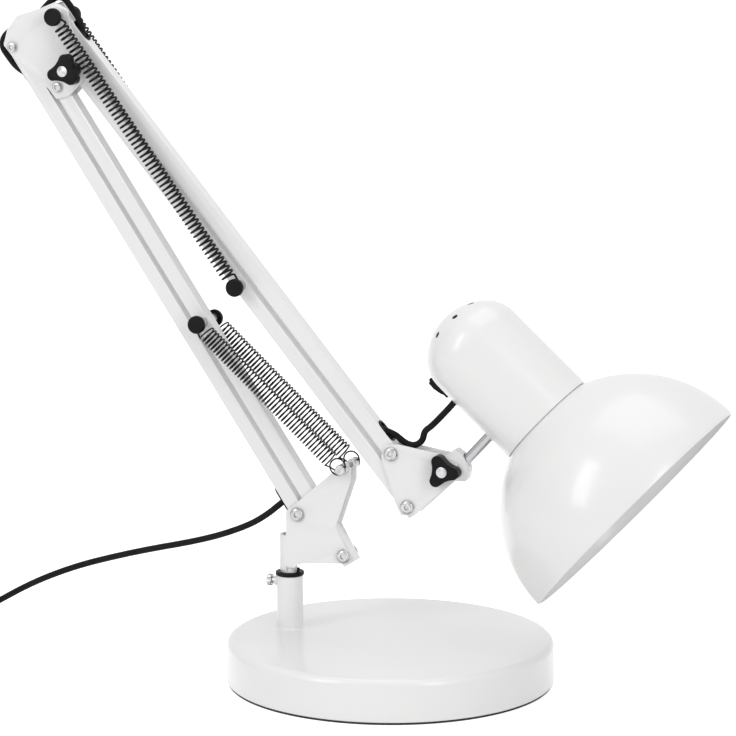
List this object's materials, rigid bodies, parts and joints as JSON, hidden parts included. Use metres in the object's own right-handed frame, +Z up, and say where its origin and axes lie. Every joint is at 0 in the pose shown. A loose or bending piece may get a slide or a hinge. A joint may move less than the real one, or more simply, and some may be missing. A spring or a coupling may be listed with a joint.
{
  "type": "desk lamp",
  "caption": "Spring-balanced desk lamp with a weighted round base, parallel-bar arms, side springs, clamp knobs and a domed swivelling shade",
  "frame": {"origin": "centre of the underside of the round base, on the surface it stands on", "axes": "+Z up, arms in the XZ plane with the head toward +X, +Y to the left of the head"},
  "size_m": [0.5799, 0.2, 0.4135],
  "materials": {
    "white_paint": "satin white enamel on steel",
    "cast_weight": "raw cast weight",
    "rubber_pad": "matt black foam rubber",
    "black_plastic": "moulded black plastic",
    "zinc_steel": "zinc plated",
    "chrome_rod": "polished",
    "spring_wire": "dark tempered wire",
    "black_cord": "black flexible sheath",
    "holder_plastic": "moulded",
    "bulb_metal": "bright rolled cap",
    "frosted_glass": "frosted"
  },
  "bodies": {
    "base": {"base_shell": "white_paint", "base_weight": "cast_weight", "base_pad": "rubber_pad", "post_tube": "white_paint", "tube_bushing": "black_plastic", "power_cord": "black_cord", "cord_coil": "black_cord", "coil_tie": "black_plastic", "mains_plug": "black_plastic"},
    "post_screw": {"thumb_screw": "zinc_steel"},
    "swivel": {"swivel_pin": "white_paint", "lower_bracket": "white_paint", "lower_pivot_bolts": "zinc_steel", "spring_studs": "zinc_steel"},
    "lower_outer_arm": {"lower_outer_bar": "white_paint", "lower_bar_grommets": "black_plastic"},
    "lower_inner_arm": {"lower_inner_bar": "white_paint", "lower_spring_pin": "zinc_steel", "lower_spring_caps": "black_plastic"},
    "elbow": {"elbow_bracket": "white_paint", "elbow_rivets": "zinc_steel", "elbow_spring_pin": "zinc_steel", "elbow_spring_caps": "black_plastic", "elbow_clamp_bolt": "zinc_steel", "elbow_cord": "black_cord"},
    "elbow_clamp": {"elbow_knob": "black_plastic"},
    "upper_outer_arm": {"upper_outer_bar": "white_paint", "upper_bar_grommets": "black_plastic"},
    "upper_inner_arm": {"upper_inner_bar": "white_paint", "upper_spring_pin": "zinc_steel", "upper_spring_caps": "black_plastic"},
    "head_carrier": {"head_bracket": "white_paint", "head_pivot_bolts": "zinc_steel", "tilt_bolt": "zinc_steel", "head_cord": "black_cord"},
    "tilt_clamp": {"tilt_knob": "black_plastic"},
    "head_arm": {"head_fork": "white_paint", "head_rod": "chrome_rod", "rod_nut": "zinc_steel"},
    "lamp_head": {"socket_housing": "white_paint", "shade": "white_paint", "lampholder": "holder_plastic", "bulb_cap": "bulb_metal", "bulb_glass": "frosted_glass", "switch_body": "black_plastic", "housing_grommet": "black_plastic"},
    "switch_rocker": {"rocker": "black_plastic"},
    "lower_hooks": {"lower_spring_hooks": "spring_wire"},
    "lower_coils": {"lower_springs": "spring_wire"},
    "upper_eyes": {"upper_spring_eyes": "spring_wire"},
    "upper_coils": {"upper_springs": "spring_wire"}
  },
  "joints": [
    {"name": "base_swivel", "type": "hinge", "parent": "base", "child": "swivel", "pos_m": [-0.0657, 0, 0.064], "axis": [0, 0, 1], "range_deg": [-150, 150], "deforming": ["power_cord"]},
    {"name": "post_screw_turn", "type": "hinge", "parent": "base", "child": "post_screw", "pos_m": [-0.08, 0, 0.0562], "axis": [1, 0, 0], "continuous": true},
    {"name": "lower_arm_lift", "type": "hinge", "parent": "swivel", "child": "lower_outer_arm", "pos_m": [-0.0583, 0, 0.1002], "axis": [0, 1, 0], "range_deg": [-1, 30], "deforming": ["power_cord", "lower_springs", "elbow_cord"]},
    {"name": "lower_inner_turn", "type": "hinge", "parent": "swivel", "child": "lower_inner_arm", "pos_m": [-0.028, 0, 0.0763], "axis": [0, 1, 0], "range_deg": [-1.5, 30.5]},
    {"name": "elbow_turn", "type": "hinge", "parent": "lower_outer_arm", "child": "elbow", "pos_m": [-0.24509, 0, 0.3807], "axis": [0, 1, 0], "range_deg": [-30.5, 1.5], "deforming": ["elbow_cord"]},
    {"name": "lower_hook_turn", "type": "hinge", "parent": "swivel", "child": "lower_hooks", "pos_m": [-0.0276, 0, 0.1312], "axis": [0, 1, 0], "range_deg": [-1.89, 42.2], "deforming": ["lower_springs"]},
    {"name": "lower_spring_stretch", "type": "slide", "parent": "lower_hooks", "child": "lower_coils", "axis": [-0.7416, 0, 0.6709], "range_m": [-0.0149, 0.00098], "deforming": ["lower_springs"]},
    {"name": "elbow_knob_turn", "type": "hinge", "parent": "elbow", "child": "elbow_clamp", "pos_m": [-0.20309, 0, 0.368], "axis": [0, 1, 0], "continuous": true},
    {"name": "upper_arm_lift", "type": "hinge", "parent": "elbow", "child": "upper_outer_arm", "pos_m": [-0.21369, 0, 0.4], "axis": [0, -1, 0], "range_deg": [-1, 80], "deforming": ["elbow_cord", "upper_springs", "head_cord"]},
    {"name": "upper_inner_turn", "type": "hinge", "parent": "elbow", "child": "upper_inner_arm", "pos_m": [-0.20309, 0, 0.368], "axis": [0, -1, 0], "range_deg": [-1.5, 80.5]},
    {"name": "carrier_turn", "type": "hinge", "parent": "upper_outer_arm", "child": "head_carrier", "pos_m": [0.00234, 0, 0.142], "axis": [0, -1, 0], "range_deg": [-80.5, 1.5], "deforming": ["head_cord"]},
    {"name": "upper_eye_turn", "type": "hinge", "parent": "elbow", "child": "upper_eyes", "pos_m": [-0.21369, 0, 0.4], "axis": [0, -1, 0], "range_deg": [-1.39, 71.7], "deforming": ["upper_springs"]},
    {"name": "upper_spring_stretch", "type": "slide", "parent": "upper_eyes", "child": "upper_coils", "axis": [0.593, 0, -0.8052], "range_m": [-0.03247, 0.0009], "deforming": ["upper_springs"]},
    {"name": "head_tilt", "type": "hinge", "parent": "head_carrier", "child": "head_arm", "pos_m": [0.03684, 0, 0.1344], "axis": [0, 1, 0], "range_deg": [-30, 40], "deforming": ["head_cord"]},
    {"name": "tilt_knob_turn", "type": "hinge", "parent": "head_carrier", "child": "tilt_clamp", "pos_m": [0.03684, 0, 0.1344], "axis": [0, 1, 0], "continuous": true},
    {"name": "head_swivel", "type": "hinge", "parent": "head_arm", "child": "lamp_head", "pos_m": [0.08459, 0, 0.18019], "axis": [0.6719, 0, 0.7407], "range_deg": [-45, 45], "deforming": ["head_cord"]},
    {"name": "switch_rock", "type": "hinge", "parent": "lamp_head", "child": "switch_rocker", "pos_m": [0.03269, 0, 0.18474], "axis": [0, 1, 0], "range_deg": [0, 36]}
  ],
  "couplings": [
    {"joint": "lower_inner_turn", "follows": "lower_arm_lift", "ratio": 1},
    {"joint": "elbow_turn", "follows": "lower_arm_lift", "ratio": -1},
    {"joint": "lower_hook_turn", "follows": "lower_arm_lift", "ratio": 1.39},
    {"joint": "lower_spring_stretch", "follows": "lower_arm_lift", "m_per_rad": -0.0275},
    {"joint": "upper_inner_turn", "follows": "upper_arm_lift", "ratio": 1},
    {"joint": "carrier_turn", "follows": "upper_arm_lift", "ratio": -1},
    {"joint": "upper_eye_turn", "follows": "upper_arm_lift", "ratio": 0.89},
    {"joint": "upper_spring_stretch", "follows": "upper_arm_lift", "m_per_rad": -0.0229}
  ]
}
